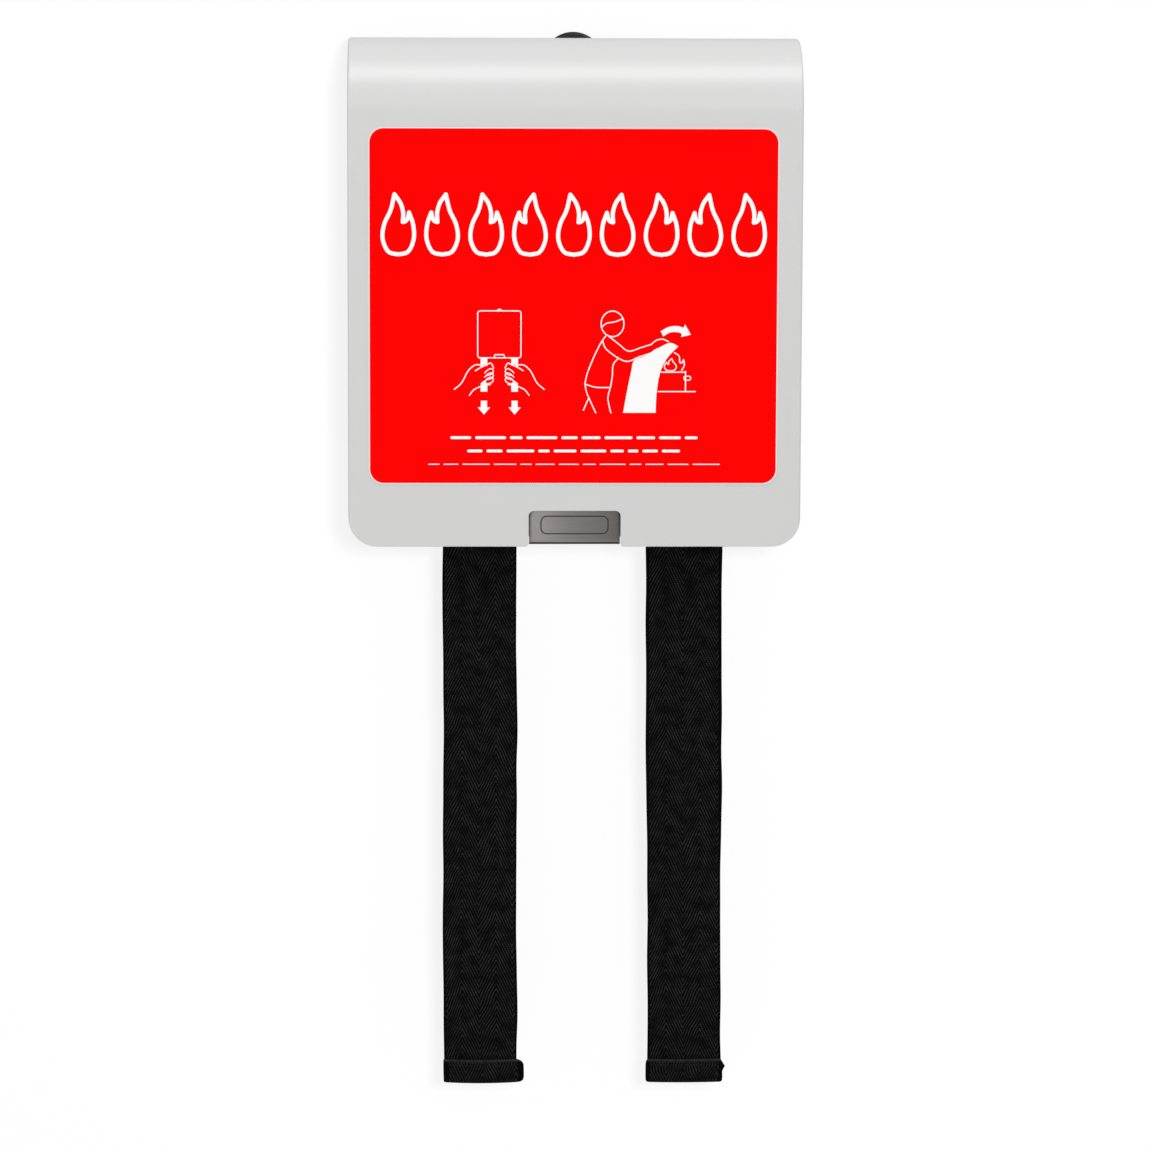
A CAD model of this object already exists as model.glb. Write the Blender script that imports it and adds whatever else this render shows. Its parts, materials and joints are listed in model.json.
# %% [markdown]
# # A fire blanket in its wall case
# The object hangs on a wall: a white steel case with a rolled top, a red label, a grey catch
# in the middle of the bottom edge, and two black pull straps. Inside lies a folded blanket of
# glass cloth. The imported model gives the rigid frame, and this lesson adds the finishes, the
# cloth and the printing.

import json
import math

import bpy
import numpy as np
from mathutils import Matrix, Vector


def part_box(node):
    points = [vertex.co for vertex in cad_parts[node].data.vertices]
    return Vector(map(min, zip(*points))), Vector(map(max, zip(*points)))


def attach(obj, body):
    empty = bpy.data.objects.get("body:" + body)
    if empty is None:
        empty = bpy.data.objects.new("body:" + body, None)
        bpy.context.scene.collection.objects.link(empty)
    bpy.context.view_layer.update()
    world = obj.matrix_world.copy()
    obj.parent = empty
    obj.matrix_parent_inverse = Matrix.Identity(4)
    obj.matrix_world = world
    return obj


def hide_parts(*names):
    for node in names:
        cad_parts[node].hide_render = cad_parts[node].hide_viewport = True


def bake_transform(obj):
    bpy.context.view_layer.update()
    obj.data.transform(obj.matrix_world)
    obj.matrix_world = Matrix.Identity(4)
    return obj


MM = 0.001
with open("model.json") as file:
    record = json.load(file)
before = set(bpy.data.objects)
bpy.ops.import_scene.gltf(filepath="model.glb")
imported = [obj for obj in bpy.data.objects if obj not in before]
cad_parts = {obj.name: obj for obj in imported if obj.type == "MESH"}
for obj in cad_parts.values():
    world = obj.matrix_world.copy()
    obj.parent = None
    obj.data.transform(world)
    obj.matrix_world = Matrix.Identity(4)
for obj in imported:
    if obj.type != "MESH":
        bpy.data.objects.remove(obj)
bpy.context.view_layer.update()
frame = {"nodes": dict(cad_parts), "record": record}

# %% [markdown]
# ## Helpers for finishes
# A colour is written as the hex value that a paint chart or a screen shows. Blender's shaders
# add light, so they need linear values, and one function turns the one into the other.
# Every node of a material is added by one small function: settings go on the node, plain
# values on its sockets, and a value that is itself a socket becomes a link.

# %% Colour and node helpers
def linear(code):
    """sRGB hex to linear RGBA: the low part is divided by 12.92, the rest follows a 2.4 power."""
    part = np.array([int(code[i : i + 2], 16) for i in (1, 3, 5)]) / 255
    bent = np.where(part <= 0.04045, part / 12.92, ((part + 0.055) / 1.055) ** 2.4)
    return (*bent.tolist(), 1.0)


def add_node(tree, kind, values=None, **settings):
    """Adds one shader node with its settings, its socket values and its links."""
    new = tree.nodes.new("ShaderNode" + kind)
    for key, value in settings.items():
        setattr(new, key, value)
    for key, value in (values or {}).items():
        if isinstance(value, bpy.types.NodeSocket):
            tree.links.new(value, new.inputs[key])
        else:
            new.inputs[key].default_value = value
    return new


def new_material(name, values):
    """A material with one Principled shader; values go on its own sockets."""
    material = bpy.data.materials.new(name)
    material.use_nodes = True
    tree = material.node_tree
    tree.nodes.clear()
    shader = add_node(tree, "BsdfPrincipled", values)
    add_node(tree, "OutputMaterial", {"Surface": shader.outputs["BSDF"]})
    return material, tree, shader


def link(tree, shader, **sockets):
    """Links outputs to the shader's sockets; an underscore stands for a space."""
    for key, value in sockets.items():
        tree.links.new(value, shader.inputs[key.replace("_", " ")])


def two_tone(tree, factor, dark, light):
    """Mixes two hex colours by a factor and returns the colour output."""
    mixer = add_node(tree, "Mix", {"Factor": factor}, data_type="RGBA")
    mixer.inputs[6].default_value = linear(dark)
    mixer.inputs[7].default_value = linear(light)
    return mixer.outputs[2]


def between(tree, factor, low, high):
    """Turns a 0 to 1 factor into a value from low to high."""
    return add_node(tree, "MapRange", {"Value": factor, "To Min": low, "To Max": high}).outputs[0]


def maths(tree, operation, *terms):
    """One Math node; terms are numbers or sockets."""
    return add_node(tree, "Math", dict(enumerate(terms)), operation=operation).outputs[0]


# %% [markdown]
# ## Powder coat
# The cover is sheet steel with a baked polyester powder. The powder melts into a skin with a
# faint orange peel: soft bumps 1 to 2 mm across and a few thousandths of a millimetre high.
# It's satin, not glossy, so the light spreads into a wide soft band over the roll. The back
# plate and its eye have a black powder, glossier and with a stronger peel.

# %% Powder coat
def powder_coat(name, dark, light, roughness, peel_strength):
    """Baked powder: two near colours and glosses in slow patches, and orange peel as bump."""
    material, tree, shader = new_material(name, {"IOR": 1.5, "Specular IOR Level": 0.6})
    place = add_node(tree, "TexCoord").outputs["Object"]
    patches = add_node(tree, "TexNoise", {"Vector": place, "Scale": 22, "Detail": 3})
    peel = add_node(tree, "TexNoise", {"Vector": place, "Scale": 620, "Detail": 2})
    grit = add_node(tree, "TexNoise", {"Vector": place, "Scale": 3200, "Detail": 1})
    height = maths(tree, "MULTIPLY_ADD", grit.outputs[0], 0.25, peel.outputs[0])
    bump = add_node(
        tree, "Bump", {"Strength": peel_strength, "Distance": 0.03 * MM, "Height": height}
    )
    link(
        tree,
        shader,
        Base_Color=two_tone(tree, patches.outputs[0], dark, light),
        Roughness=between(tree, patches.outputs[0], roughness - 0.02, roughness + 0.02),
        Normal=bump.outputs[0],
    )
    return material


white_powder = powder_coat("white_powder_coat", "#cdcdcc", "#d0d0d0", 0.3, 0.12)
black_powder = powder_coat("black_powder_coat", "#060607", "#0e0e0f", 0.14, 0.9)
print("finishes:", white_powder.name, black_powder.name)

# %% [markdown]
# ## Zinc plated steel
# The walls, hinge and rivets are cheap steel pressings with bright zinc plating. Zinc is a
# cool, slightly cloudy metal: its gloss changes in patches a few millimetres wide, and
# handling leaves fine scratches.

# %% Zinc plating
def zinc_plate(name):
    """Cloudy bright zinc: patches in colour and gloss, and fine scratches along the sheet."""
    material, tree, shader = new_material(name, {"Metallic": 1.0})
    place = add_node(tree, "TexCoord").outputs["Object"]
    clouds = add_node(tree, "TexNoise", {"Vector": place, "Scale": 170, "Detail": 5})
    along = add_node(tree, "Mapping", {"Vector": place, "Scale": (60, 900, 2400)})
    lines = add_node(tree, "TexNoise", {"Vector": along.outputs[0], "Scale": 1, "Detail": 4})
    both = maths(tree, "MULTIPLY_ADD", lines.outputs[0], 0.4, clouds.outputs[0])
    bump = add_node(tree, "Bump", {"Strength": 0.12, "Distance": 0.02 * MM, "Height": both})
    link(
        tree,
        shader,
        Base_Color=two_tone(tree, clouds.outputs[0], "#a9adb2", "#c9c9c4"),
        Roughness=between(tree, both, 0.29, 0.48),
        Normal=bump.outputs[0],
    )
    return material


zinc = zinc_plate("zinc_plated_steel")

# %% [markdown]
# ## Satin steel of the catch
# The pull tab is stainless steel, brushed lengthwise and satin finished. The brush leaves
# hair lines along X that are 0.05 to 0.1 mm apart; they're drawn three times as wide so that
# they show at all. The pressing bows forward a little in the middle, so its gloss slides from
# light on the left to dark on the right, and the finish is a little duller and darker at the
# right end. Fingers leave a dark line along the curled lip.

# %% Satin steel
TAB_BOW = 9.0
LIP_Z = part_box("catch_tab")[0].z + 0.5 * MM
TAB_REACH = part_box("catch_tab")[1].x


def satin_steel(name):
    """Warm grey steel with hair lines along X. The pressing is bowed by a parabola across X,
    which is too shallow to model, so it tilts the shading only. The colour darkens from
    left to right and along the lip."""
    material, tree, shader = new_material(name, {"Metallic": 1.0})
    place = add_node(tree, "TexCoord").outputs["Object"]
    along = add_node(tree, "Mapping", {"Vector": place, "Scale": (160, 3500, 3500)})
    hair = add_node(tree, "TexNoise", {"Vector": along.outputs[0], "Scale": 1, "Detail": 3})
    stain = add_node(tree, "TexNoise", {"Vector": place, "Scale": 130, "Detail": 3})
    split = add_node(tree, "SeparateXYZ", {"Vector": place})
    bowed = maths(tree, "MULTIPLY", maths(tree, "POWER", split.outputs[0], 2.0), -TAB_BOW)
    lines = maths(tree, "MULTIPLY_ADD", hair.outputs[0], 0.0012 * MM, bowed)
    bump = add_node(tree, "Bump", {"Strength": 1.0, "Distance": 1.0, "Height": lines})
    clean = add_node(
        tree,
        "MapRange",
        {"Value": split.outputs[2], "From Min": LIP_Z, "From Max": LIP_Z + 0.8 * MM},
        interpolation_type="SMOOTHSTEP",
    ).outputs[0]
    across = {"Value": split.outputs[0], "From Min": -TAB_REACH, "From Max": TAB_REACH}
    handled = add_node(tree, "MapRange", {**across, "To Min": 1.1, "To Max": 0.6}).outputs[0]
    tone = maths(tree, "MULTIPLY", between(tree, hair.outputs[0], 0.75, 1.0), clean)
    tone = maths(tree, "MULTIPLY", tone, handled)
    link(
        tree,
        shader,
        Base_Color=two_tone(tree, tone, "#2c2928", "#9a9592"),
        Roughness=between(tree, stain.outputs[0], 0.34, 0.42),
        Normal=bump.outputs[0],
    )
    return material


tab_steel = satin_steel("satin_stainless_steel")

# %% [markdown]
# ## Label film and inks
# The label is a soft PVC film with a screen-printed red ground and white ink. Film printed
# this way isn't a mirror: the ink has a fine grain, and the ground is a very full red. The
# film itself is white, and shows as a hair line round the red ground.

# %% Label film and inks
def printed_film(name, dark, light, roughness, grain, shine=0.08):
    """Printed film: a fine grain of the given size in mm, in colour, gloss and bump."""
    material, tree, shader = new_material(name, {"IOR": 1.52, "Specular IOR Level": shine})
    place = add_node(tree, "TexCoord").outputs["Object"]
    fine = add_node(tree, "TexNoise", {"Vector": place, "Scale": 1 / (grain * MM), "Detail": 2})
    slow = add_node(tree, "TexNoise", {"Vector": place, "Scale": 18, "Detail": 2})
    part = maths(tree, "MULTIPLY", fine.outputs[0], 0.4)
    mixed = maths(tree, "MULTIPLY_ADD", slow.outputs[0], 0.6, part)
    bump = add_node(
        tree, "Bump", {"Strength": 0.08, "Distance": 0.01 * MM, "Height": fine.outputs[0]}
    )
    link(
        tree,
        shader,
        Base_Color=two_tone(tree, mixed, dark, light),
        Roughness=between(tree, fine.outputs[0], roughness - 0.04, roughness + 0.06),
        Normal=bump.outputs[0],
    )
    return material


film_white = printed_film("white_pvc_film", "#e4e0de", "#f0edeb", 0.4, 0.5)
ink_red = printed_film("red_screen_ink", "#fa0000", "#ff0202", 0.6, 0.4, 0.02)
ink_white = printed_film("white_screen_ink", "#f4f2f0", "#ffffff", 0.5, 0.4)

# %% [markdown]
# ## Cotton tape
# The pull straps are black herringbone cotton tape, 28 mm wide. Twill lines climb at about
# 65 degrees and turn back four times across the width, so they make two peaks with a valley
# in the middle. Each line is a row of short floats, one for each weft thread. The UV map is
# in metres on the flat tape: U across, V along.

# %% Herringbone tape
TAPE_WIDTH = 28 * MM
TWILL_PITCH = 2.3 * MM
TWILL_SLOPE = 2.15
TWILL_ZONE = 6.4 * MM
SELVEDGE = 0.8 * MM
WEFT_PITCH = 0.75 * MM


def herringbone_tape(name, fold_at):
    """Twill lines: a wave in V, shifted by a zigzag in U, and cut into floats by the weft.
    The two selvedges stay plain, and the fold is rubbed to a paler line."""
    values = {"Specular IOR Level": 0.06, "Roughness": 0.9}
    material, tree, shader = new_material(name, values)
    uv = add_node(tree, "UVMap", uv_map="flat").outputs[0]
    split = add_node(tree, "SeparateXYZ", {"Vector": uv})
    fuzz = add_node(tree, "TexNoise", {"Vector": uv, "Scale": 800, "Detail": 4})
    drift = add_node(tree, "TexNoise", {"Vector": uv, "Scale": 70, "Detail": 2})
    worn = add_node(tree, "TexNoise", {"Vector": uv, "Scale": 210, "Detail": 4})
    wobble = maths(tree, "MULTIPLY_ADD", drift.outputs[0], 1.6 * MM, split.outputs[0])
    inward = maths(tree, "SUBTRACT", wobble, SELVEDGE + 0.8 * MM)
    zigzag = maths(tree, "PINGPONG", inward, TWILL_ZONE)
    climb = maths(tree, "MULTIPLY_ADD", zigzag, TWILL_SLOPE, split.outputs[1])
    climb = maths(tree, "MULTIPLY_ADD", drift.outputs[0], 2.4 * MM, climb)
    twill = maths(tree, "SINE", maths(tree, "MULTIPLY", climb, 2 * math.pi / TWILL_PITCH))
    weft_turn = maths(tree, "MULTIPLY", split.outputs[1], 2 * math.pi / WEFT_PITCH)
    floats = maths(tree, "MULTIPLY_ADD", maths(tree, "SINE", weft_turn), 0.3, twill)
    rib = add_node(
        tree,
        "MapRange",
        {"Value": floats, "From Min": -0.3, "From Max": 1.25},
        interpolation_type="SMOOTHSTEP",
    ).outputs[0]
    from_middle = maths(tree, "ABSOLUTE", maths(tree, "SUBTRACT", split.outputs[0], TAPE_WIDTH / 2))
    plain = maths(tree, "GREATER_THAN", from_middle, TAPE_WIDTH / 2 - SELVEDGE)
    rib = maths(tree, "MULTIPLY", rib, maths(tree, "SUBTRACT", 1.0, plain))
    wear_range = {"From Min": 0.34, "From Max": 0.64, "To Min": 0.25, "To Max": 1.35}
    wear = add_node(tree, "MapRange", {"Value": worn.outputs[0], **wear_range}).outputs[0]
    pale = maths(tree, "MULTIPLY", maths(tree, "MULTIPLY", rib, wear), fuzz.outputs[0])
    from_fold = maths(tree, "ABSOLUTE", maths(tree, "SUBTRACT", split.outputs[1], fold_at))
    rubbed = add_node(
        tree,
        "MapRange",
        {"Value": from_fold, "From Min": 0.0, "From Max": 0.6 * MM, "To Min": 1.2, "To Max": 0.0},
    ).outputs[0]
    rubbed = maths(tree, "MULTIPLY", rubbed, fuzz.outputs[0])
    pale = maths(tree, "MAXIMUM", pale, rubbed)
    height = maths(tree, "MULTIPLY_ADD", fuzz.outputs[0], 0.4, rib)
    bump = add_node(tree, "Bump", {"Strength": 0.8, "Distance": 0.2 * MM, "Height": height})
    link(
        tree,
        shader,
        Base_Color=two_tone(tree, pale, "#040304", "#3b393a"),
        Normal=bump.outputs[0],
    )
    return material


# %% [markdown]
# ## Glass cloth and thread
# The blanket is woven glass fibre, off-white and slightly shiny along each yarn. Its yarns
# are about 0.6 mm wide. They are drawn 1.2 mm wide, because finer ones blur into plain grey.
# The sewing thread is spun polyester: two plies twisted together, which shows as slanting
# stripes.

# %% Glass cloth and thread
YARN = 1.2 * MM


def glass_cloth(name):
    """A plain weave: two crossing waves, the higher one at each point on top."""
    values = {"Sheen Weight": 0.15, "Specular IOR Level": 0.45}
    material, tree, shader = new_material(name, values)
    uv = add_node(tree, "UVMap", uv_map="flat").outputs[0]
    split = add_node(tree, "SeparateXYZ", {"Vector": uv})
    waves = [
        maths(tree, "SINE", maths(tree, "MULTIPLY", split.outputs[i], math.pi / YARN))
        for i in (0, 1)
    ]
    checker = maths(tree, "MULTIPLY", *waves)
    patches = add_node(tree, "TexNoise", {"Vector": uv, "Scale": 35, "Detail": 4})
    yarn = maths(tree, "MULTIPLY_ADD", checker, 0.5, 0.5)
    tone = maths(tree, "MULTIPLY_ADD", patches.outputs[0], 0.5, maths(tree, "MULTIPLY", yarn, 0.6))
    bump = add_node(tree, "Bump", {"Strength": 0.8, "Distance": 0.2 * MM, "Height": checker})
    link(
        tree,
        shader,
        Base_Color=two_tone(tree, tone, "#b9b4a6", "#f3f0e8"),
        Roughness=between(tree, patches.outputs[0], 0.45, 0.7),
        Normal=bump.outputs[0],
    )
    return material


def twisted_thread(name, dark, light):
    """Sewing thread: slanting plies from a wave along a diagonal."""
    material, tree, shader = new_material(name, {"Specular IOR Level": 0.1})
    place = add_node(tree, "TexCoord").outputs["Object"]
    ply = add_node(tree, "TexWave", {"Vector": place, "Scale": 900, "Distortion": 1.0})
    ply.bands_direction = "DIAGONAL"
    bump = add_node(
        tree, "Bump", {"Strength": 0.5, "Distance": 0.05 * MM, "Height": ply.outputs["Fac"]}
    )
    link(
        tree,
        shader,
        Base_Color=two_tone(tree, ply.outputs["Fac"], dark, light),
        Roughness=between(tree, ply.outputs["Fac"], 0.75, 0.55),
        Normal=bump.outputs[0],
    )
    return material


blanket_cloth = glass_cloth("woven_glass_cloth")
black_thread = twisted_thread("black_sewing_thread", "#0a0a0a", "#191818")
print("materials:", len(bpy.data.materials))

# %% [markdown]
# ## Smooth copies of the turned and pressed parts
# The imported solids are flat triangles. Where the real part is round, a copy gets its loose
# corners merged and shares its normals over gentle edges only, weighted by face size, so a
# roll shades as a roll and a flat face stays flat.

# %% Mesh helpers
def make_object(name, points, faces, material, flat=None, smooth=True):
    """Puts arrays of points and faces in a mesh; flat is the place on the flat cloth (UV)."""
    mesh = bpy.data.meshes.new(name)
    mesh.from_pydata(np.asarray(points).tolist(), [], [list(f) for f in faces])
    mesh.materials.append(material)
    mesh.polygons.foreach_set("use_smooth", [smooth] * len(mesh.polygons))
    if flat is not None:
        layer = mesh.uv_layers.new(name="flat")
        corner = np.zeros(len(mesh.loops), np.int32)
        mesh.loops.foreach_get("vertex_index", corner)
        layer.data.foreach_set("uv", np.asarray(flat)[corner].astype(np.float32).ravel())
    mesh.validate()
    mesh.update()
    made = bpy.data.objects.new(name, mesh)
    bpy.context.scene.collection.objects.link(made)
    return made


def smooth_copy(node, material, sharp=28):
    """A copy of a CAD node with its corners merged, for smooth shading."""
    source = frame["nodes"][node].data
    points = np.zeros(len(source.vertices) * 3, np.float32)
    source.vertices.foreach_get("co", points)
    points = points.reshape(-1, 3)
    corners = np.array([p.vertices[:] for p in source.polygons])
    key = np.round(points / (0.002 * MM)).astype(np.int64)
    _, first, where = np.unique(key, axis=0, return_index=True, return_inverse=True)
    faces = where.reshape(-1)[corners]
    whole = (faces[:, 0] != faces[:, 1]) & (faces[:, 1] != faces[:, 2])
    faces = faces[whole & (faces[:, 0] != faces[:, 2])]
    made = make_object(node + "_smooth", points[first], faces, material)
    made.data.set_sharp_from_angle(angle=math.radians(sharp))
    weighted = made.modifiers.new("weighted", "WEIGHTED_NORMAL")
    weighted.keep_sharp = True
    weighted.weight = 100
    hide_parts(node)
    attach(made, BODY_OF[node])
    return made


BODY_OF = {
    node: body
    for body, members in frame["record"]["behaviour"]["bodies"].items()
    for node in members
}

# %% Finish the rigid parts
FINISH = {"zinc_steel": zinc, "black_paint": black_powder, "white_paint": white_powder}
FINISH["grey_steel"] = tab_steel
rigid = [
    row
    for row in frame["record"]["subparts"]
    if row["material_slot"] in FINISH
]
for row in rigid:
    smooth_copy(row["node"], FINISH[row["material_slot"]])
print("rigid parts finished:", len(rigid))

# %% [markdown]
# ## The label
# The label is three thin layers: white film, a red ground that stops a hair short of the
# film's edge, and white ink. Every printed shape is a closed slab a few hundredths of a
# millimetre thick. A filled shape is a slab of its outline. A drawn line is a ribbon: two
# rows of points half a line width to each side of its path, with the width closing along a
# circle at both ends, so that the ends are round.

# %% Flat shapes
def arc(x, z, radius, start, end, steps=12):
    """Points on a circle from start to end degrees."""
    a = np.radians(np.linspace(start, end, steps + 1))
    return np.stack([x + radius * np.cos(a), z + radius * np.sin(a)], axis=1)


def rounded_box(low, high, radius, steps=8):
    """The outline of a box with round corners, anticlockwise."""
    (x0, z0), (x1, z1) = low, high
    return np.concatenate(
        [
            arc(x0 + radius, z0 + radius, radius, 180, 270, steps),
            arc(x1 - radius, z0 + radius, radius, 270, 360, steps),
            arc(x1 - radius, z1 - radius, radius, 0, 90, steps),
            arc(x0 + radius, z1 - radius, radius, 90, 180, steps),
        ]
    )


def bend_through(points, steps=6, closed=False):
    """A smooth curve through the points: a cubic between each two, set by their neighbours."""
    p = np.array(points, float)
    if closed:
        before, after, end = np.roll(p, 1, 0), np.roll(p, -1, 0), np.roll(p, -2, 0)
    else:
        padded = np.concatenate([[2 * p[0] - p[1]], p, [2 * p[-1] - p[-2]]])
        before, p, after, end = padded[:-3], padded[1:-2], padded[2:-1], padded[3:]
    t = np.linspace(0, 1, steps, endpoint=False)[None, :, None]
    b, p, a, e = (q[:, None, :] for q in (before, p, after, end))
    curve = 0.5 * (
        2 * p
        + (a - b) * t
        + (2 * b - 5 * p + 4 * a - e) * t**2
        + (3 * p - b - 3 * a + e) * t**3
    )
    curve = curve.reshape(-1, 2)
    return curve if closed else np.concatenate([curve, [np.array(points[-1], float)]])


def filled(outline, front, back):
    """A slab of an outline: its front face, its back face and the wall between them."""
    outline = np.array(outline, float)
    x, z = outline[:, 0], outline[:, 1]
    if (x * np.roll(z, -1) - np.roll(x, -1) * z).sum() < 0:
        outline = outline[::-1]
    n = len(outline)
    points = np.empty((2 * n, 3))
    points[:n] = np.insert(outline, 1, front, axis=1)
    points[n:] = np.insert(outline, 1, back, axis=1)
    i = np.arange(n)
    j = (i + 1) % n
    wall = np.stack([j, i, i + n, j + n], axis=1).tolist()
    return points, [list(range(n)), list(range(2 * n - 1, n - 1, -1)), *wall]


def drawn(path, width, front, back, closed=False):
    """A slab along a path: two edges half a width away, closed or with round ends."""
    path = np.array(path, float)
    half = np.full(len(path), width / 2)
    if not closed:
        turn = np.radians([85, 60, 35, 15])
        ends = []
        for at, inner in ((path[0], path[1]), (path[-1], path[-2])):
            out = (at - inner) / np.linalg.norm(at - inner)
            ends.append(at + out * (np.sin(turn) * width / 2)[:, None])
        path = np.concatenate([ends[0], path, ends[1][::-1]])
        cap = np.cos(turn) * width / 2
        half = np.concatenate([cap, half, cap[::-1]])
        step = np.gradient(path, axis=0)
    else:
        step = np.roll(path, -1, 0) - np.roll(path, 1, 0)
    step /= np.linalg.norm(step, axis=1)[:, None]
    side = np.stack([-step[:, 1], step[:, 0]], axis=1) * half[:, None]
    n = len(path)
    left, right = path + side, path - side
    rows = [(left, front), (right, front), (right, back), (left, back)]
    points = np.concatenate([np.insert(row, 1, y, axis=1) for row, y in rows])
    i = np.arange(n if closed else n - 1)
    j = (i + 1) % n
    faces = []
    for a, b in ((0, 1), (1, 2), (2, 3), (3, 0)):
        faces += np.stack([a * n + i, b * n + i, b * n + j, a * n + j], axis=1).tolist()
    if not closed:
        faces += [[3 * n, 2 * n, n, 0], [n - 1, 2 * n - 1, 3 * n - 1, 4 * n - 1]]
    return points, faces


def gather(parts):
    """Joins slabs into one list of points and faces."""
    points, faces, start = [], [], 0
    for p, f in parts:
        points.append(p)
        faces += [[k + start for k in face] for face in f]
        start += len(p)
    return np.concatenate(points), faces


# %% Label film and red ground
label_low, label_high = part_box("front_label")
FILM_FRONT = label_low.y + 0.03 * MM
RED_FRONT = label_low.y
INK_FRONT = label_low.y - 0.03 * MM
LABEL_ROUND = 5.2 * MM
FILM_MARGIN = 0.35 * MM
low = np.array([label_low.x, label_low.z])
high = np.array([label_high.x, label_high.z])


def even_outline(outline, pitch):
    """The same closed outline with points an even pitch apart."""
    ring = np.concatenate([outline, outline[:1]])
    run = np.concatenate([[0], np.cumsum(np.linalg.norm(np.diff(ring, axis=0), axis=1))])
    at = np.linspace(0, run[-1], int(run[-1] / pitch / 2) * 2, endpoint=False)
    return np.stack([np.interp(at, run, ring[:, k]) for k in (0, 1)], axis=1)


film_outline = rounded_box(low - FILM_MARGIN, high + FILM_MARGIN, LABEL_ROUND + FILM_MARGIN, 12)
film = make_object(
    "label_film", *filled(film_outline, FILM_FRONT, label_high.y), film_white, smooth=False
)
# The die that cuts the red ground leaves tiny teeth, 0.8 mm apart.
red_outline = even_outline(rounded_box(low, high, LABEL_ROUND, 24), 0.4 * MM)
middle = (low + high) / 2
red_outline[::2] += (middle - red_outline[::2]) * (0.2 * MM / (high - low).max() * 2)
red = make_object(
    "label_red_ground",
    *filled(red_outline, RED_FRONT, FILM_FRONT + 0.01 * MM),
    ink_red,
    smooth=False,
)
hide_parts("front_label")
for piece in (film, red):
    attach(piece, "cover")
print("label in mm:", (high - low) / MM)

# %% [markdown]
# ## White ink
# A row of plain flames stands where a label of this kind has its heading, drawn in thin white
# lines. Below are two plain pictures of how to use the blanket: two hands pull the straps down
# out of the case, and a person lays the blanket over a burning pot. The rows of words under
# them are only bars. The place of each point is in millimetres: right of the label's middle
# line, and down from the label's top edge.

# %% Ink helpers
LINE = 0.42 * MM
ink_parts = []


def on_label(points):
    """Turns (right, down) in mm on the label into X and Z in metres."""
    points = np.array(points, float) * MM
    return np.stack([middle[0] + points[:, 0], high[1] - points[:, 1]], axis=1)


def ink_line(points, width=LINE, bend=True, closed=False):
    """A line of ink through the points, bent smoothly or straight."""
    path = on_label(points)
    if bend:
        path = bend_through(path, closed=closed)
    front = INK_FRONT - 0.0005 * MM * (len(ink_parts) % 8)
    ink_parts.append(drawn(path, width, front, RED_FRONT + 0.01 * MM, closed))


def ink_shape(points):
    """A filled shape of ink, a hair behind the lines that cross it."""
    front = INK_FRONT + 0.003 * MM
    ink_parts.append(filled(on_label(points), front, RED_FRONT + 0.01 * MM))


FLAME_BENDS = (
    [(-0.35, 0.70), (-0.48, 0.50), (-0.50, 0.26), (-0.32, 0.05), (0.0, 0.0)],
    [(0.0, 0.0), (0.32, 0.05), (0.50, 0.26), (0.45, 0.50), (0.24, 0.74), (0.12, 1.0)],
    [(0.12, 1.0), (-0.07, 0.86), (-0.16, 0.70), (-0.15, 0.54)],
    [(-0.15, 0.54), (-0.25, 0.56), (-0.32, 0.62), (-0.35, 0.70)],
)


def flame(right, down, width, height, thick, mirror=1):
    """A flame's outline: bends that meet in a tall tip, a notch and a low tip. Each bend is
    its own line, so that the tips stay sharp."""
    for bend in FLAME_BENDS:
        run = bend_through(bend, 8)
        x = right + mirror * run[:, 0] * width
        ink_line(np.stack([x, down - run[:, 1] * height], axis=1), thick, bend=False)


# %% Row of flames
HEADING_LINE = 1.5 * MM
HEADING_COUNT = 9
for i in range(HEADING_COUNT):
    place_x = (i - (HEADING_COUNT - 1) / 2) * 16.4
    flame(place_x, 47.0, 11.6, 22.4, HEADING_LINE, 1 if i % 2 else -1)

# %% Picture of pulling the straps
CASE_X = -27.8
case_picture = rounded_box((CASE_X - 8.1, 68.0), (CASE_X + 8.1, 85.6), 0.9, 3)
ink_line(case_picture, LINE, bend=False, closed=True)
TAB_PICTURE = ((-1.9, 85.4), (-1.7, 84.4), (1.7, 84.4), (1.9, 85.4))
tab_picture = [(CASE_X + x, down) for x, down in TAB_PICTURE]
ink_line(tab_picture, LINE, bend=False)
ink_line([(CASE_X - 0.8, 67.8), (CASE_X, 67.4), (CASE_X + 0.8, 67.8)])
for side in (-1, 1):
    strap_x = CASE_X + side * 5.75

    def beside(points):
        """Points given for the left hand, mirrored for the right one."""
        return [(strap_x - side * x, down) for x, down in points]

    ink_shape(beside([(-1.25, 85.8), (1.25, 85.8), (1.25, 88.6), (0.2, 88.0), (-1.25, 89.0)]))
    ink_shape(beside([(-1.2, 95.2), (0.3, 94.0), (1.25, 95.6), (1.25, 98.3), (-1.25, 98.3)]))
    shaft = [(-1.15, 101.7), (1.15, 101.7), (1.15, 104.2), (2.3, 104.2), (0, 106.9)]
    ink_shape(beside([*shaft, (-2.3, 104.2), (-1.15, 104.2)]))
    ink_line(beside([(-11.1, 97.4), (-8.4, 95.0), (-6.0, 90.6), (-3.6, 88.4), (-1.4, 88.2)]))
    ink_line(beside([(-3.2, 90.4), (-1.2, 89.2), (1.0, 88.2), (2.6, 87.6), (3.6, 89.4)]))
    for knuckle in (90.0, 91.6, 93.2):
        finger = [(0.3, 1.2), (1.6, 0.0), (3.0, -0.3), (3.5, 0.8), (2.6, 1.8), (0.8, 2.2)]
        ink_line(beside([(x, knuckle + down) for x, down in finger]), LINE * 0.9)
    ink_line(beside([(-5.4, 99.6), (-3.8, 97.6), (-1.4, 96.4), (0.6, 95.8), (2.4, 95.6)]))

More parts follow.
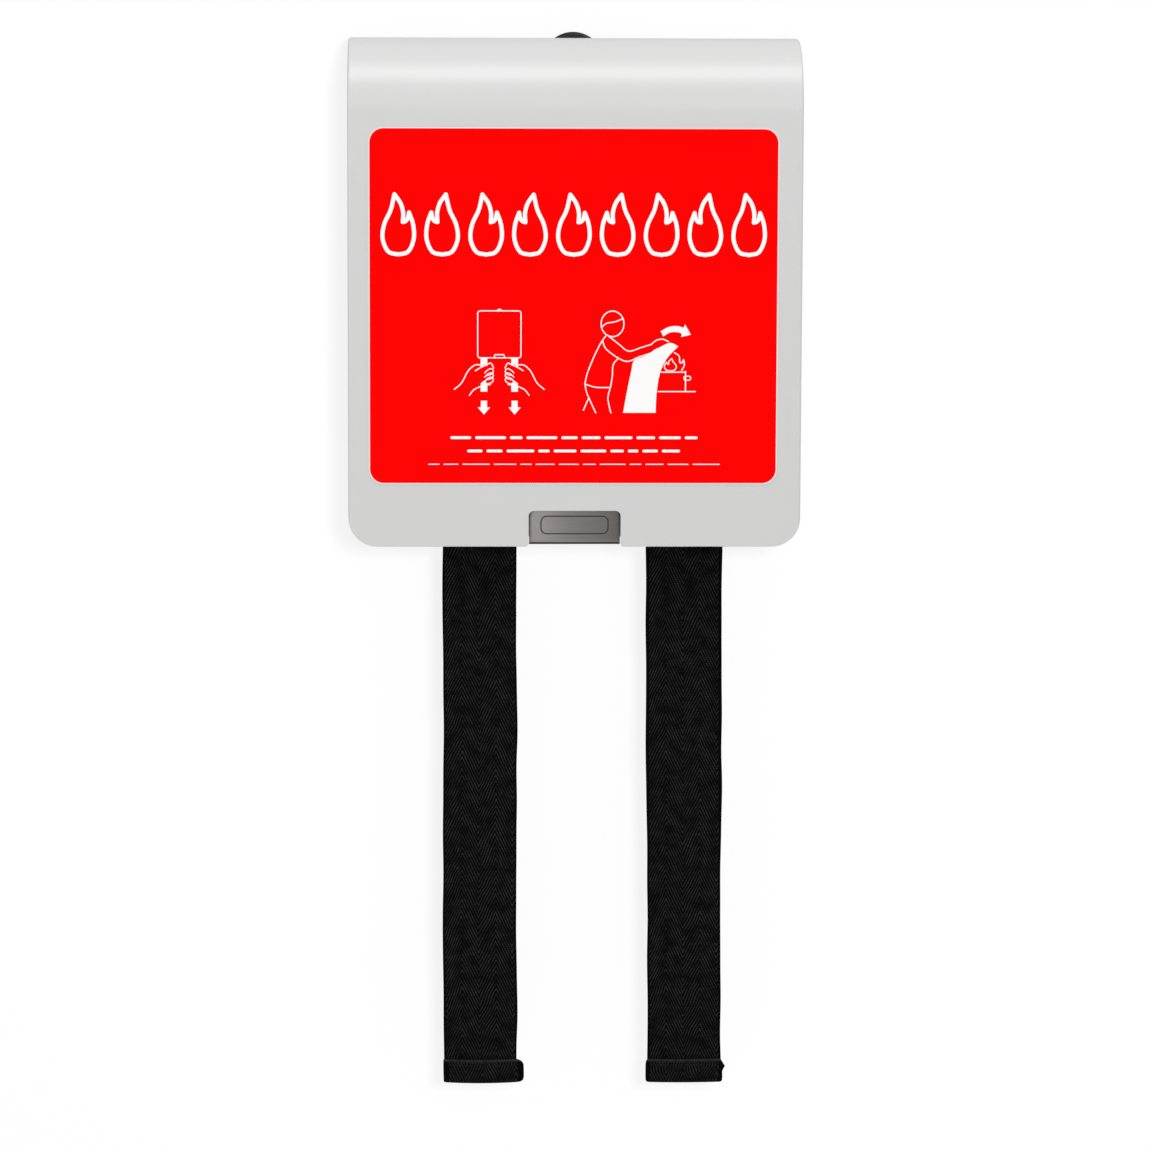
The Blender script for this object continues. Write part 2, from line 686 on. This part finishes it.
# %% Picture of laying the blanket
head = arc(14.6, 72.8, 4.3, 0, 360, 28)[:-1]
head[:, 1] = 72.8 + (head[:, 1] - 72.8) * 1.12
ink_line(head, LINE, bend=False, closed=True)
ink_line([(10.6, 74.0), (12.4, 72.6), (15.6, 72.0), (18.6, 70.8)])
ink_line([(12.0, 77.4), (10.0, 80.4), (7.4, 85.8), (5.2, 91.4), (4.3, 95.4)])
ink_line([(4.3, 95.4), (8.4, 96.6), (13.9, 96.7)])
ink_line([(13.9, 96.7), (14.6, 92.4), (14.9, 88.2), (16.8, 85.6)])
ink_line([(10.8, 79.0), (12.6, 82.6), (19.4, 86.8), (24.6, 85.2), (29.4, 83.6)])
ink_line([(13.4, 77.6), (17.0, 80.4), (20.6, 83.0), (25.0, 81.8), (29.4, 80.4)])
ink_line([(29.2, 80.4), (31.0, 79.0), (33.4, 78.5), (35.6, 79.4)])
ink_line([(29.2, 83.6), (31.0, 82.4), (33.0, 81.6), (35.2, 81.4)])
ink_line([(4.4, 95.8), (5.0, 98.6), (6.2, 101.4), (8.4, 106.2)])
ink_line([(5.8, 100.6), (4.8, 102.8), (3.8, 105.2)])
ink_line([(13.8, 97.0), (13.0, 100.2), (13.3, 103.0), (14.1, 106.2)])
cloth_edge = bend_through([(30.0, 83.2), (33.0, 81.2), (36.4, 79.9), (39.3, 81.2)])
cloth_fall = bend_through([(39.3, 81.2), (35.2, 85.6), (32.6, 91.0), (31.3, 98.4), (30.9, 106.2)])
cloth_back = bend_through([(18.7, 106.2), (20.2, 97.8), (21.6, 91.0), (22.7, 86.6), (26.0, 85.2)])
ink_shape(np.concatenate([cloth_edge[:-1], cloth_fall, cloth_back]))
ink_line([(33.0, 90.9), (41.8, 90.9)], bend=False)
ink_line([(42.1, 90.6), (42.1, 98.0)], bend=False)
ink_line([(31.9, 98.2), (45.8, 98.2)], bend=False)
ink_line(rounded_box((41.5, 92.4), (44.0, 93.9), 0.6, 3), LINE * 0.9, bend=False, closed=True)
flame(36.4, 90.4, 4.4, 4.6, LINE * 0.9)
ink_line([(40.6, 90.2), (41.6, 88.4), (41.4, 86.2)])
ink_line([(41.4, 86.2), (40.6, 87.4), (39.9, 87.2)])
ink_line([(39.9, 87.2), (39.6, 84.8), (37.9, 83.6)])
sweep = bend_through([(33.6, 77.5), (36.2, 76.0), (39.0, 75.9), (40.6, 76.4)])
upper = bend_through([(41.3, 74.2), (38.8, 73.6), (35.8, 73.9), (32.7, 75.5)])
arrow_head = [(40.3, 77.7), (44.0, 76.8), (41.8, 73.0)]
ink_shape(np.concatenate([sweep, arrow_head, upper]))


# %% Bars in place of words
def word_row(down, left, right, thick, seed):
    """Bars of uneven length from left to right, with one gap width between them."""
    rng = np.random.default_rng(seed)
    gap = 1.5
    at = left
    while at < right - 1.5:
        long = min(rng.uniform(3.5, 12.0), right - at)
        if right - at - long < 4:
            long = right - at
        inset = thick / 2
        bar = [(at + inset, down), (at + long - inset, down)]
        ink_line(bar, thick * MM, bend=False)
        at += long + gap


word_row(115.6, -46.2, 46.8, 1.05, 1)
word_row(120.6, -39.8, 40.2, 1.05, 2)
word_row(125.6, -54.4, 55.2, 0.36, 3)
ink = make_object("label_white_ink", *gather(ink_parts), ink_white, smooth=False)
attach(ink, "cover")
print("ink shapes:", len(ink_parts))

# %% [markdown]
# ## Line in the tab's groove
# The tab has a pressed groove in the shape of a plain rounded bar, where a maker would put a
# badge. Dark blacking is wiped into it, as on a tool's engraved scale. It's one closed ribbon
# that lies on the groove's floor and stays below the face.

# %% Blacking in the groove
TAB_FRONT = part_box("catch_tab")[0].y
GROOVE_LOW = np.array([-12.9, -90.7]) * MM
GROOVE_HIGH = np.array([12.9, -83.6]) * MM
GROOVE_WIDTH = 0.5 * MM
GROOVE_MIDDLE_R = 2.15 * MM
groove_path = rounded_box(
    GROOVE_LOW + GROOVE_WIDTH / 2, GROOVE_HIGH - GROOVE_WIDTH / 2, GROOVE_MIDDLE_R, 10
)
blacking_paint = printed_film("black_engraving_paint", "#3c3a38", "#504d4b", 0.6, 0.4)
blacking = make_object(
    "tab_groove_blacking",
    *drawn(
        groove_path,
        GROOVE_WIDTH - 0.1 * MM,
        TAB_FRONT + 0.1 * MM,
        TAB_FRONT + 0.29 * MM,
        closed=True,
    ),
    blacking_paint,
    smooth=False,
)
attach(blacking, "catch")
print("groove in mm:", (GROOVE_HIGH - GROOVE_LOW) / MM)

# %% [markdown]
# ## Pull straps
# Each strap is one tape. Its top end is sewn flat to the front of the folded blanket, it runs
# down behind the bar and out of the open bottom, and its lower end is folded twice into a
# hem. A flat cross-section is carried along the tape's path in the side view. The path is
# straight lines joined by half circles, and the two edges of the tape drift and wave a little
# on their own, as a loosely woven tape's do.

# %% Tape helpers
TAPE_THICK = 0.75 * MM


def side_path(runs):
    """Joins straight runs and half circles of (y, z) into one even path."""
    path = np.concatenate(runs)
    keep = np.concatenate([[True], np.linalg.norm(np.diff(path, axis=0), axis=1) > 1e-7])
    path = path[keep]
    run = np.concatenate([[0], np.cumsum(np.linalg.norm(np.diff(path, axis=0), axis=1))])
    return path, run


def half_turn(y, z, radius, start, end, steps=10):
    """A half circle in the side view, in degrees from +Y towards +Z."""
    a = np.radians(np.linspace(start, end, steps + 1))
    return np.stack([y + radius * np.cos(a), z + radius * np.sin(a)], axis=1)


def straight(y0, z0, y1, z1, pitch=1.5 * MM):
    """Even points on a straight line in the side view."""
    count = max(2, int(math.hypot(y1 - y0, z1 - z0) / pitch) + 1)
    return np.stack([np.linspace(y0, y1, count), np.linspace(z0, z1, count)], axis=1)


def smooth_step(value, start, end):
    """0 before start, 1 after end, and a smooth rise between."""
    t = np.clip((value - start) / (end - start), 0, 1)
    return t * t * (3 - 2 * t)


def slow_noise(along, length, size, rng, waves=5):
    """A sum of slow sine waves with seeded phases, for edges that wander."""
    total = np.zeros_like(along)
    for k in range(1, waves + 1):
        phase = rng.uniform(0, 2 * math.pi)
        total += np.sin(2 * math.pi * k * along / length + phase) / k
    return total * size


def carry_tape(name, path, run, left, right, droop, material):
    """Carries a flat section along the path: across goes from the left edge to the right one,
    and the thickness closes to nothing at both edges along a steep curve. The middle of a row
    hangs lower than its edges by the droop, along a parabola."""
    t = np.gradient(path, axis=0)
    t /= np.linalg.norm(t, axis=1)[:, None]
    normal = np.stack([t[:, 1], -t[:, 0]], axis=1)
    inner = np.concatenate([[-0.992, -0.965], np.linspace(-0.92, 0.92, 13), [0.965, 0.992]])
    across = np.concatenate([[-1], inner, [1], inner[::-1]])
    rise = np.sqrt(1 - np.abs(across) ** 36)
    rise[len(inner) + 1 :] *= -1
    middle_x = (left + right)[:, None] / 2
    half = (right - left)[:, None] / 2
    x = middle_x + half * across
    y = path[:, :1] + normal[:, :1] * rise * TAPE_THICK / 2
    z = path[:, 1:] + normal[:, 1:] * rise * TAPE_THICK / 2
    z = z - droop[:, None] * (1 - across**2)
    points = np.stack([x, y, z], axis=2).reshape(-1, 3)
    flat = np.stack([half * across + TAPE_WIDTH / 2, run[:, None] + 0 * x], axis=2)
    n, m = len(path), len(across)
    i, j = np.meshgrid(np.arange(n - 1), np.arange(m), indexing="ij")
    k = (j + 1) % m
    faces = np.stack([i * m + j, i * m + k, (i + 1) * m + k, (i + 1) * m + j], axis=2)
    faces = faces.reshape(-1, 4).tolist()
    faces.append(list(range(m - 1, -1, -1)))
    faces.append(list(range((n - 1) * m, n * m)))
    return make_object(name, points, faces, material, flat.reshape(-1, 2))


# %% Build both straps
LAYER = 0.8 * MM
HEM_HIGH = 9.3 * MM
TURN_IN = 6.5 * MM
STRAP_Y = -29 * MM
SEWN_TOP = -42 * MM
hem_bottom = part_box("strap_left_hem")[0].z
bottom_turn = hem_bottom + LAYER + TAPE_THICK / 2
top_turn = hem_bottom + HEM_HIGH - TAPE_THICK / 2 - LAYER / 2
runs = [
    straight(STRAP_Y, SEWN_TOP, STRAP_Y, top_turn + 14 * MM),
    straight(STRAP_Y, top_turn + 12.5 * MM, STRAP_Y + LAYER, top_turn + 2 * MM),
    straight(STRAP_Y + LAYER, top_turn + 1 * MM, STRAP_Y + LAYER, bottom_turn, 1 * MM),
    half_turn(STRAP_Y, bottom_turn, LAYER, 0, -180),
    straight(STRAP_Y - LAYER, bottom_turn, STRAP_Y - LAYER, top_turn, 1 * MM),
    half_turn(STRAP_Y - LAYER / 2, top_turn, LAYER / 2, 180, 0),
    straight(STRAP_Y, top_turn, STRAP_Y, top_turn - TURN_IN, 1 * MM),
]
tape_path, tape_run = side_path(runs)
hanging = smooth_step(-tape_path[:, 1], 0.105, 0.15)
fold_start = float(tape_run[np.argmin(tape_path[:, 1])])
hem_middle = fold_start + HEM_HIGH / 2
from_middle = np.abs(tape_run - hem_middle) / (HEM_HIGH / 2)
in_hem = np.clip(1 - from_middle**7, 0, 1)
near_fold = smooth_step(tape_run, fold_start - 12 * MM, fold_start - 2 * MM)
top_fold = float(tape_run[np.argmin(np.abs(tape_run - fold_start - HEM_HIGH + 0.4 * MM))])
tape_cotton = herringbone_tape("black_cotton_tape", top_fold)
down_tape = np.clip((SEWN_TOP - tape_path[:, 1]) / (SEWN_TOP - hem_bottom), 0, 1)

# Edges in mm: left and right at the mouth, left and right above the hem, how far the folded
# hem stands out past the tape on the left and on the right, and how far a corner of the
# turned edge pokes out on the right
STRAP_EDGES = {
    "left": (-49.7, -21.7, -49.5, -21.3, 0.1, 2.7, 0.0),
    "right": (26.7, 56.4, 29.2, 57.1, 0.7, 0.6, 1.1),
}
straps = {}
for number, (side, edges) in enumerate(STRAP_EDGES.items()):
    rng = np.random.default_rng(20 + number)
    top_left, top_right, low_left, low_right, out_left, out_right, poke = np.array(edges) * MM
    left = top_left + (low_left - top_left) * down_tape
    right = top_right + (low_right - top_right) * down_tape
    left += slow_noise(tape_run, 0.13, 0.16 * MM, rng) - in_hem * out_left
    right += slow_noise(tape_run, 0.11, 0.18 * MM, rng) + in_hem * out_right
    poke_at = fold_start + 0.7 * HEM_HIGH
    right += poke * np.clip(1 - np.abs(tape_run - poke_at) / (1.8 * MM), 0, 1)
    path = tape_path.copy()
    path[:, 0] += slow_noise(-tape_path[:, 1], 0.19, 0.3 * MM, rng, 3) * hanging
    droop = near_fold * (0.45 - 0.25 * number) * MM
    strap = carry_tape("pull_strap_" + side, path, tape_run, left, right, droop, tape_cotton)
    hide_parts("strap_" + side, f"strap_{side}_sewn_end", f"strap_{side}_hem")
    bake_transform(strap)
    straps[side] = (path, left, right)

# %% [markdown]
# ## Folded blanket
# The blanket is a square of glass cloth, 1.2 m on each side. It is folded like a fan into
# eight panels across, and the long strip that this makes is folded like a fan into eight
# again, so a pull on the straps opens it without a tangle. Each fan is a path of straight
# runs and half circles. The first path gives a point's place across and its depth in the
# strip. The second carries the strip up and down, and that depth is measured square to it.

# %% Fan folds
BLANKET_SIDE = 1.2
PANELS = 8
CLOTH_THICK = 0.26 * MM
CLOTH_PITCH = 0.37 * MM
blanket_low, blanket_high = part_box("fire_blanket")


def fan_path(lengths, pitch, straight_steps, turn_steps):
    """A fan fold as place, depth and distance run: straight panels, there and back, one
    pitch apart, joined by half circles of half the pitch."""
    place, depth = [], []
    edge, way = 0.0, 1.0
    for k, length in enumerate(lengths):
        steps = np.linspace(0, 1, straight_steps)
        place.append(edge + way * length * steps)
        depth.append(np.full(straight_steps, k * pitch))
        edge += way * length
        if k < len(lengths) - 1:
            turn = np.pi * np.arange(1, turn_steps) / turn_steps
            place.append(edge + way * np.sin(turn) * pitch / 2)
            depth.append(k * pitch + (1 - np.cos(turn)) * pitch / 2)
        way = -way
    place, depth = np.concatenate(place), np.concatenate(depth)
    run = np.concatenate([[0], np.cumsum(np.hypot(np.diff(place), np.diff(depth)))])
    return place, depth, run


def panel_lengths(total, pitch, rng):
    """Eight panels that use up the cloth's side, each a little long or short."""
    turns = (PANELS - 1) * math.pi * pitch / 2
    lengths = np.full(PANELS, (total - turns) / PANELS)
    shift = rng.uniform(-0.8, 0.8, PANELS + 1) * MM
    shift[0] = shift[-1] = 0
    return lengths + np.diff(shift)


# %% Build the folded blanket
rng = np.random.default_rng(5)
strip_thick = PANELS * CLOTH_PITCH
across, in_strip, across_run = fan_path(
    panel_lengths(BLANKET_SIDE, CLOTH_PITCH, rng), CLOTH_PITCH, 9, 5
)
updown, strip_depth, updown_run = fan_path(
    panel_lengths(BLANKET_SIDE, strip_thick, rng), strip_thick, 9, 14
)
across -= (across.max() + across.min()) / 2
updown -= (updown.max() + updown.min()) / 2
tangent = np.stack([np.gradient(updown), np.gradient(strip_depth)], axis=1)
tangent /= np.linalg.norm(tangent, axis=1)[:, None]
off = (in_strip - in_strip.mean())[:, None]
fold_x = across[:, None] + 0 * updown
fold_z = (blanket_low.z + blanket_high.z) / 2 + updown - off * tangent[:, 1]
fold_d = strip_depth + off * tangent[:, 0]
fold_d = (fold_d - fold_d.min()) / (fold_d.max() - fold_d.min())

# The stack's edges wander with depth and height, and the strap's channels press the front in
fold_x = fold_x + 0.5 * MM * np.sin(fold_d * 23 + fold_z * 40) + 0.4 * MM * np.sin(fold_z * 90)
fold_z = fold_z + 0.5 * MM * np.sin(fold_d * 17 + fold_x * 50)
front_y = blanket_low.y + 0.5 * MM
back_y = blanket_high.y - 0.5 * MM
press = np.zeros_like(fold_x)
for path, left, right in straps.values():
    inside = smooth_step(fold_x, left[0] - 5 * MM, left[0] - 0.5 * MM)
    inside = inside * (1 - smooth_step(fold_x, right[0] + 0.5 * MM, right[0] + 5 * MM))
    press = np.maximum(press, inside * (1 - smooth_step(fold_z, SEWN_TOP, SEWN_TOP + 6 * MM)))
puff = 0.5 * MM * np.cos(fold_x / 0.15 * math.pi) * np.cos((fold_z + 0.013) / 0.15 * math.pi)
fold_y = back_y - (back_y - front_y) * (1 - fold_d) - puff * (1 - fold_d)
fold_y = fold_y + press * (1 - fold_d) * 1.9 * MM
sheet_points = np.stack([fold_x, fold_y, fold_z], axis=2)


def thick_sheet(name, grid, flat, thick, material):
    """Two copies of a grid of points, half the thickness to each side along the surface's
    normal, with the border closed between them."""
    normal = np.cross(np.gradient(grid, axis=0), np.gradient(grid, axis=1))
    normal /= np.linalg.norm(normal, axis=2)[:, :, None]
    n, m = grid.shape[:2]
    points = np.concatenate([(grid + s * normal * thick / 2).reshape(-1, 3) for s in (1, -1)])
    i, j = np.meshgrid(np.arange(n - 1), np.arange(m - 1), indexing="ij")
    a = i * m + j
    quad = np.stack([a, a + m, a + m + 1, a + 1], axis=2).reshape(-1, 4)
    top, left_side = np.arange(m), np.arange(n) * m
    border = np.concatenate(
        [top, left_side[1:] + m - 1, (n - 1) * m + top[-2::-1], left_side[-2:0:-1]]
    )
    after = np.roll(border, -1)
    wall = np.stack([border, after, after + n * m, border + n * m], axis=1)
    faces = np.concatenate([quad, quad[:, ::-1] + n * m, wall])
    return make_object(name, points, faces.tolist(), material, np.concatenate([flat, flat]))


flat_u, flat_v = np.meshgrid(across_run, updown_run, indexing="ij")
flat_uv = np.stack([flat_u, flat_v], axis=2).reshape(-1, 2)
blanket = thick_sheet("folded_blanket", sheet_points, flat_uv, CLOTH_THICK, blanket_cloth)
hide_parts("fire_blanket")
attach(blanket, "blanket")
print("blanket triangles:", 2 * len(blanket.data.polygons))

# %% [markdown]
# ## Stitches
# Each stitch is a short length of thread that dips into the cloth at both ends. Its centre
# line is an arch, and its round section shrinks to nothing at both ends. The straps' sewn
# ends have a square of stitches with a cross in it, and each hem has one row.


# %% Stitches
def stitch_rows(paths, y, pitch=2.7 * MM, long=2.1 * MM, thick=0.46 * MM):
    """One small arched thread for each pitch along every straight path of (x, z)."""
    ring = np.radians(np.arange(0, 360, 60))
    s = np.linspace(0, 1, 7)
    width = np.sqrt(np.clip(1 - (2 * s - 1) ** 4, 0, 1)) * thick / 2 + 0.02 * MM
    parts = []
    for start, end in paths:
        start, end = np.array(start), np.array(end)
        span = np.linalg.norm(end - start)
        way = (end - start) / span
        for k in range(int(span // pitch)):
            at = start + way * (k * pitch + (pitch - long) / 2)
            line = at + way * (s * long)[:, None]
            arch = y - 0.1 * MM * np.sin(np.pi * s)
            side = np.array([-way[1], way[0]])
            x = line[:, :1] + side[0] * np.cos(ring) * width[:, None]
            z = line[:, 1:] + side[1] * np.cos(ring) * width[:, None]
            depth = arch[:, None] + np.sin(ring) * width[:, None]
            points = np.stack([x, depth, z], axis=2).reshape(-1, 3)
            i, j = np.meshgrid(np.arange(6), np.arange(6), indexing="ij")
            k2 = (j + 1) % 6
            faces = np.stack([i * 6 + j, i * 6 + k2, i * 6 + 6 + k2, i * 6 + 6 + j], axis=2)
            faces = faces.reshape(-1, 4).tolist()
            parts.append((points, [*faces, list(range(5, -1, -1)), list(range(36, 42))]))
    return gather(parts)


for side, (path, left, right) in straps.items():
    x0, x1 = left[0] + 3 * MM, right[0] - 3 * MM
    z0, z1 = -50 * MM + SEWN_TOP + 15 * MM, SEWN_TOP - 3 * MM
    frame_box = [((x0, z0), (x1, z0)), ((x1, z0), (x1, z1)), ((x1, z1), (x0, z1))]
    frame_box += [((x0, z1), (x0, z0)), ((x0, z0), (x1, z1)), ((x1, z0), (x0, z1))]
    sewn = make_object(
        f"strap_{side}_box_stitch",
        *stitch_rows(frame_box, STRAP_Y - TAPE_THICK / 2),
        black_thread,
    )
    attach(sewn, "blanket")
    lowest = int(np.argmin(path[:, 1]))
    hem_x0, hem_x1 = left[lowest + 6] + 1.2 * MM, right[lowest + 6] - 1.2 * MM
    hem_z = hem_bottom + HEM_HIGH - 2.4 * MM
    hem_front = float(path[:, 0].min()) - TAPE_THICK / 2
    row = make_object(
        f"strap_{side}_hem_stitch",
        *stitch_rows([((hem_x0, hem_z), (hem_x1, hem_z))], hem_front + 0.1 * MM),
        black_thread,
    )
    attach(row, f"strap_{side}_hanging")
print("stitched pieces:", 2 * len(straps))

# %% [markdown]
# ## Stage, lights and camera
# A wall stands right behind the case, and a pale floor lies below the straps. The wall is grey
# paint with an even white glow, so it looks white and takes only a faint shadow. Both are
# one-sided, so the object can also be looked at from behind and from below. The light is
# soft: an even white surround, a wide strip lamp above that draws a bright band along the
# rolled top, and weaker lamps in front and on the left. A small lamp that lights only the
# wall gives the case and straps a short soft shadow.

# %% Wall and floor
WALL_Y = 1 * MM
FLOOR_Z = -0.5
W = 3.0


def backdrop(name, corners, code, glow):
    """A one-sided sheet: its material is clear where it's met from behind."""
    material, tree, shader = new_material(name + "_matt_paint", {"Roughness": 0.95})
    shader.inputs["Base Color"].default_value = linear(code)
    shader.inputs["Specular IOR Level"].default_value = 0.0
    shader.inputs["Emission Color"].default_value = (1, 1, 1, 1)
    shader.inputs["Emission Strength"].default_value = glow
    clear = add_node(tree, "BsdfTransparent")
    behind = add_node(tree, "NewGeometry").outputs["Backfacing"]
    mix = add_node(tree, "MixShader", {0: behind, 1: shader.outputs[0], 2: clear.outputs[0]})
    out = next(n for n in tree.nodes if n.type == "OUTPUT_MATERIAL")
    tree.links.new(mix.outputs[0], out.inputs["Surface"])
    made = make_object(name, corners, [(0, 1, 2, 3)], material, smooth=False)
    return made


wall = backdrop(
    "wall",
    [(-W, WALL_Y, FLOOR_Z), (W, WALL_Y, FLOOR_Z), (W, WALL_Y, W), (-W, WALL_Y, W)],
    "#5a5a5a",
    0.835,
)
wall.visible_diffuse = wall.visible_glossy = wall.visible_shadow = False
floor = backdrop(
    "floor",
    [(-W, -W, FLOOR_Z), (W, -W, FLOOR_Z), (W, W, FLOOR_Z), (-W, W, FLOOR_Z)],
    "#f2f2f2",
    0.1,
)
print("wall and floor half width in m:", W)


# %% Lights
def soft_lamp(name, place, target, size, watts):
    """A wide or square area lamp at a place, turned to a target."""
    data = bpy.data.lights.new(name, "AREA")
    data.shape = "RECTANGLE"
    data.size, data.size_y = size
    data.energy = watts
    lamp = bpy.data.objects.new(name, data)
    bpy.context.scene.collection.objects.link(lamp)
    lamp.location = place
    aim = np.array(target, float) - np.array(place, float)
    lamp.rotation_euler = (
        math.atan2(math.hypot(aim[0], aim[1]), -aim[2]),
        0,
        math.atan2(-aim[0], aim[1]),
    )
    return lamp


WORLD_LIGHT = 0.575
key = soft_lamp("key_lamp", (0.2, -0.52, 1.24), (0, -0.03, 0.06), (2.2, 0.5), 12.4)
side = soft_lamp("side_lamp", (-0.9, -1.6, 0.35), (0, 0, -0.1), (1.0, 1.0), 4.4)
front = soft_lamp("front_lamp", (0.5, -1.9, 0.5), (0, 0, -0.1), (0.8, 0.8), 2.4)
shade = soft_lamp("shade_lamp", (0.22, -1.75, 0.2), (0, 0, -0.05), (0.25, 0.25), 32)

# The wall is lit by the shade lamp alone, whose small shadow lies to the left and below
wall_only = bpy.data.collections.new("wall_only")
wall_only.objects.link(wall)
shade.light_linking.receiver_collection = wall_only
not_wall = bpy.data.collections.new("not_wall")
not_wall.objects.link(wall)
not_wall.collection_objects[0].light_linking.link_state = "EXCLUDE"
for lamp in (key, side, front):
    lamp.light_linking.receiver_collection = not_wall
world = bpy.data.worlds.new("studio")
world.use_nodes = True
background = next(n for n in world.node_tree.nodes if n.type == "BACKGROUND")
background.inputs[0].default_value = (1, 1, 1, 1)
background.inputs[1].default_value = WORLD_LIGHT
bpy.context.scene.world = world
bpy.context.scene.view_settings.view_transform = "Standard"
print("lamps in W:", [lamp.data.energy for lamp in (key, side, front, shade)])

# %% Camera
YAW, PITCH, ROLL = 1.759, 6.715, 0.187
CAMERA_PLACE = (-0.0487, -1.6382, 0.0821)
LENS = 133.48
camera_data = bpy.data.cameras.new("camera")
camera_data.lens = LENS
camera_data.sensor_width = 36
camera = bpy.data.objects.new("camera", camera_data)
bpy.context.scene.collection.objects.link(camera)
camera.matrix_world = (
    Matrix.Translation(CAMERA_PLACE)
    @ Matrix.Rotation(math.radians(-YAW), 4, "Z")
    @ Matrix.Rotation(math.radians(90 - PITCH), 4, "X")
    @ Matrix.Rotation(math.radians(ROLL), 4, "Z")
)
bpy.context.scene.camera = camera
print("camera lens in mm:", LENS)
